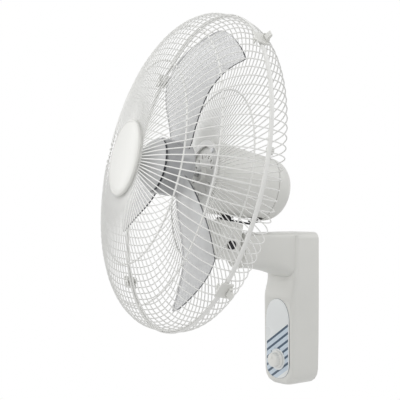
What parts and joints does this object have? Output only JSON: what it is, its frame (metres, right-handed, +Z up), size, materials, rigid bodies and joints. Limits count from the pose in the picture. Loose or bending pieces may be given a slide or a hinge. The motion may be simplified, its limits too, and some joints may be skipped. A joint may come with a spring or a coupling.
{
  "type": "wall mounted fan",
  "caption": "Oscillating wall fan: control box bracket, tilting neck, wire cage, propeller, motor and swing gear.",
  "frame": {"origin": "middle of the wall plate's back face, on the wall", "axes": "+Z up, the wall is y = 0 and the fan faces -Y"},
  "size_m": [0.4901, 0.3564, 0.5949],
  "materials": {
    "housing": "satin off-white moulding",
    "wire": "pale grey-white powder coat",
    "blade": "smoke-grey translucent moulding",
    "steel": "plain steel",
    "dark": "dark moulding",
    "washer": "matt",
    "copper": "copper winding",
    "cream": "pale moulding",
    "bearing": "bronze",
    "cast": "cast"
  },
  "bodies": {
    "bracket": {"bracket_housing": "housing", "wall_plate": "steel", "back_cover": "housing", "cover_screw_1": "steel", "cover_screw_2": "steel", "control_label_plate": "cream", "rotary_switch": "dark", "run_capacitor": "dark", "terminal_block": "cream", "lead_inlet_bush": "dark", "friction_washer_left": "washer", "friction_washer_right": "washer"},
    "control_knob": {"speed_knob": "cream", "switch_spindle": "steel"},
    "neck": {"neck_block": "housing", "swivel_pin": "steel", "swivel_clip": "steel", "tilt_bolt": "steel", "tilt_nut": "steel"},
    "link": {"drive_link": "steel"},
    "head": {"motor_front_plate": "housing", "motor_barrel": "housing", "motor_rear_cover": "housing", "swivel_boss": "steel", "stator_core": "steel", "winding_front": "copper", "winding_rear": "copper", "front_bearing": "bearing", "rear_bearing": "bearing", "rear_end_shield": "steel", "gearbox_case": "cast", "gearbox_lid": "cast", "front_guard": "wire", "rear_guard": "wire", "guard_screw_1": "steel", "guard_screw_2": "steel", "guard_screw_3": "steel", "front_ring_outer": "wire", "front_ring_inner": "wire", "rear_ring": "wire", "rim_band": "wire", "centre_badge": "housing", "rim_clip_1": "housing", "rim_clip_2": "housing", "rim_clip_3": "housing", "rim_clip_4": "housing"},
    "rotor": {"rotor_core": "steel", "motor_shaft": "steel", "drive_worm": "bearing", "propeller": "blade", "blade_cap": "blade"},
    "wheel": {"worm_wheel": "cream"},
    "crank": {"crank_gear": "cream", "crank_arm": "steel"},
    "clutch": {"clutch_spindle": "steel", "oscillation_knob": "housing"},
    "lever_1": {"clip_lever_1": "housing"},
    "lever_2": {"clip_lever_2": "housing"},
    "lever_3": {"clip_lever_3": "housing"},
    "lever_4": {"clip_lever_4": "housing"}
  },
  "joints": [
    {"name": "tilt", "type": "hinge", "parent": "bracket", "child": "neck", "pos_m": [0, -0.177, 0.108], "axis": [1, 0, 0], "range_deg": [-9, 31]},
    {"name": "oscillate", "type": "hinge", "parent": "neck", "child": "head", "pos_m": [0, -0.15773, 0.20714], "axis": [0, 0.1908, 0.9816], "range_deg": [-27, 53]},
    {"name": "blade_spin", "type": "hinge", "parent": "head", "child": "rotor", "pos_m": [0, -0.15773, 0.20714], "axis": [0.225, 0.9565, -0.1859], "continuous": true},
    {"name": "speed_knob_turn", "type": "hinge", "parent": "bracket", "child": "control_knob", "pos_m": [0, -0.06, -0.084], "axis": [0, -1, 0], "range_deg": [0, 135]},
    {"name": "clutch_pull", "type": "slide", "parent": "head", "child": "clutch", "axis": [0, 0.1908, 0.9816], "range_m": [0, 0.006]},
    {"name": "clip_lever_1_swing", "type": "hinge", "parent": "head", "child": "lever_1", "pos_m": [0.16023, -0.22856, 0.40453], "axis": [0.689, -0.2911, -0.6638], "range_deg": [0, 70]},
    {"name": "clip_lever_2_swing", "type": "hinge", "parent": "head", "child": "lever_2", "pos_m": [0.16023, -0.29734, 0.05067], "axis": [-0.689, 0.0212, -0.7245], "range_deg": [0, 70]},
    {"name": "clip_lever_3_swing", "type": "hinge", "parent": "head", "child": "lever_3", "pos_m": [-0.19101, -0.21774, 0.03519], "axis": [-0.689, 0.2911, 0.6638], "range_deg": [0, 70]},
    {"name": "clip_lever_4_swing", "type": "hinge", "parent": "head", "child": "lever_4", "pos_m": [-0.19101, -0.14896, 0.38905], "axis": [0.689, -0.0212, 0.7245], "range_deg": [0, 70]},
    {"name": "wheel_spin", "type": "hinge", "parent": "head", "child": "wheel", "pos_m": [0.03148, -0.1155, 0.19894], "axis": [0, 0.1908, 0.9816], "continuous": true},
    {"name": "crank_spin", "type": "hinge", "parent": "head", "child": "crank", "pos_m": [0.01102, -0.11487, 0.17742], "axis": [0, 0.1908, 0.9816], "continuous": true},
    {"name": "link_swing", "type": "hinge", "parent": "neck", "child": "link", "pos_m": [-0.0175, -0.16893, 0.14952], "axis": [0, 0.1908, 0.9816], "range_deg": [-25, 48]}
  ],
  "couplings": [
    {"joint": "wheel_spin", "follows": "blade_spin", "ratio": 0.033333},
    {"joint": "crank_spin", "follows": "blade_spin", "ratio": -0.010417},
    {"joint": "link_swing", "follows": "oscillate", "ratio": 0.9}
  ]
}
